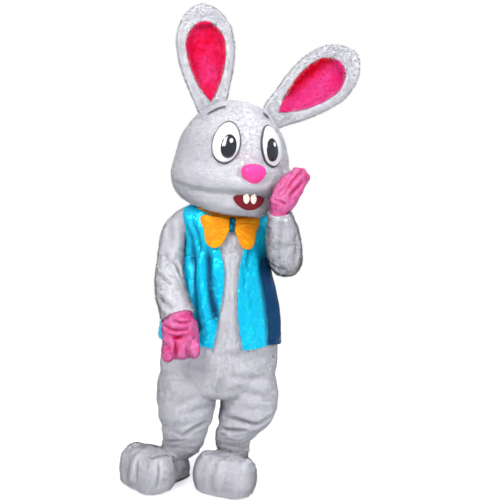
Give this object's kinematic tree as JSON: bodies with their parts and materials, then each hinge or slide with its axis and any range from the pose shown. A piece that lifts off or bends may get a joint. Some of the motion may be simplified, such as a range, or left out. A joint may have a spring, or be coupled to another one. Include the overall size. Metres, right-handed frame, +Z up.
{
  "type": "rabbit mascot costume",
  "caption": "Hollow plush rabbit costume in its worn pose, with waistcoat, bow, gloves, big feet and a headpiece with long ears; one hand is raised to the cheek.",
  "frame": {"origin": "between the wearer's shoulders, 1.345 m above the soles, where the costume is held", "axes": "-Y is the costume's front, +X is its own left side, +Z is up"},
  "size_m": [1.0217, 0.6019, 2.2843],
  "materials": {
    "white_plush": "white plush pile",
    "pink_plush": "pink plush pile",
    "blue_satin": "thin metallic cloth, crinkled",
    "orange_satin": "satin",
    "teal_satin": "satin",
    "eye_white": "glossy",
    "eye_black": "glossy",
    "mouth_red": "felt",
    "tooth_white": "smooth",
    "sole_grey": "thick felt"
  },
  "bodies": {
    "root": {"suit_front_right": "white_plush", "suit_front_left": "white_plush", "suit_back_right": "white_plush", "suit_back_left": "white_plush", "sleeve_right": "white_plush", "sleeve_left": "white_plush", "head": "white_plush", "ear_right": "white_plush", "ear_left": "white_plush", "foot_right": "white_plush", "foot_left": "white_plush", "ear_lining_right": "pink_plush", "ear_lining_left": "pink_plush", "nose": "pink_plush", "glove_right": "pink_plush", "glove_left": "pink_plush", "vest_front_right": "blue_satin", "vest_front_left": "blue_satin", "vest_back": "blue_satin", "bow_wing_right": "orange_satin", "bow_wing_left": "orange_satin", "neckband": "orange_satin", "bow_knot": "teal_satin", "eye_right": "eye_white", "eye_left": "eye_white", "pupil_right": "eye_black", "pupil_left": "eye_black", "mouth": "mouth_red", "tooth_right": "tooth_white", "tooth_left": "tooth_white", "sole_right": "sole_grey", "sole_left": "sole_grey"}
  },
  "joints": []
}
